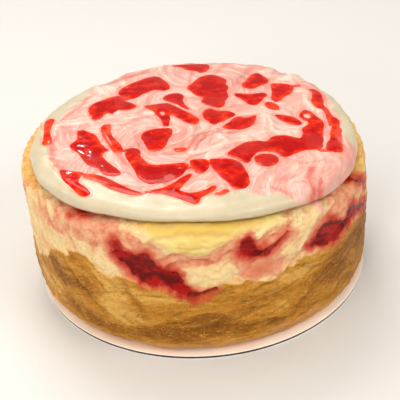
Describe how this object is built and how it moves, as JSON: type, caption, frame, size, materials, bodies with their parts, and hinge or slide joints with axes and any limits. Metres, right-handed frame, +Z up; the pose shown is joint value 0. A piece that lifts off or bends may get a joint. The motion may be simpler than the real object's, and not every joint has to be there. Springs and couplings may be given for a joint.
{
  "type": "cheesecake",
  "caption": "Round baked cheesecake on a thin cake board, with a golden crust foot, a poured cream topping and glossy pools of strawberry sauce.",
  "frame": {"origin": "centre of the cake board's underside, on the surface that the board rests on", "axes": "+Z up, -Y towards the front, which has the torn crumb with the yellow custard pocket; +X to the right as seen from the front"},
  "size_m": [0.1548, 0.1548, 0.0738],
  "materials": {
    "white_paper": "smooth white paper glued under the board",
    "greyboard": "raw cut edge of grey-brown board",
    "pink_paper": "pale pink laminated paper, low gloss",
    "baked_cheese": "food: golden-brown crust at the foot, torn cream-coloured crumb with berry streaks above, dull to slightly moist",
    "cream": "food: smooth whipped cream, white at the edge and marbled pink in the middle, satin",
    "strawberry_sauce": "food: wet translucent strawberry sauce, very glossy"
  },
  "bodies": {
    "root": {"board_base_paper": "white_paper", "board_core": "greyboard", "board_top_paper": "pink_paper", "baked_cheesecake": "baked_cheese", "cream_topping": "cream", "sauce_back_streak": "strawberry_sauce", "sauce_back_left_lobe": "strawberry_sauce", "sauce_left_lobe": "strawberry_sauce", "sauce_back_centre": "strawberry_sauce", "sauce_back_right_drop": "strawberry_sauce", "sauce_right_blade": "strawberry_sauce", "sauce_right_leaf": "strawberry_sauce", "sauce_right_small_drop": "strawberry_sauce", "sauce_right_rim_streak": "strawberry_sauce", "sauce_right_rim_hook": "strawberry_sauce", "sauce_right_front_pool": "strawberry_sauce", "sauce_round_drop": "strawberry_sauce", "sauce_front_square_drop": "strawberry_sauce", "sauce_front_pool": "strawberry_sauce", "sauce_middle_drop": "strawberry_sauce", "sauce_middle_hook": "strawberry_sauce", "sauce_middle_comma": "strawberry_sauce", "sauce_centre_drop": "strawberry_sauce", "sauce_centre_right_pool": "strawberry_sauce", "sauce_small_leaf": "strawberry_sauce", "sauce_left_front_ribbon": "strawberry_sauce", "sauce_left_front_sliver": "strawberry_sauce", "sauce_front_left_pool": "strawberry_sauce", "sauce_left_rim_streak": "strawberry_sauce", "sauce_left_front_edge_drop": "strawberry_sauce", "sauce_front_left_ribbon": "strawberry_sauce", "sauce_front_edge_ribbon": "strawberry_sauce", "sauce_front_thin_film": "strawberry_sauce", "sauce_middle_dash": "strawberry_sauce"}
  },
  "joints": []
}
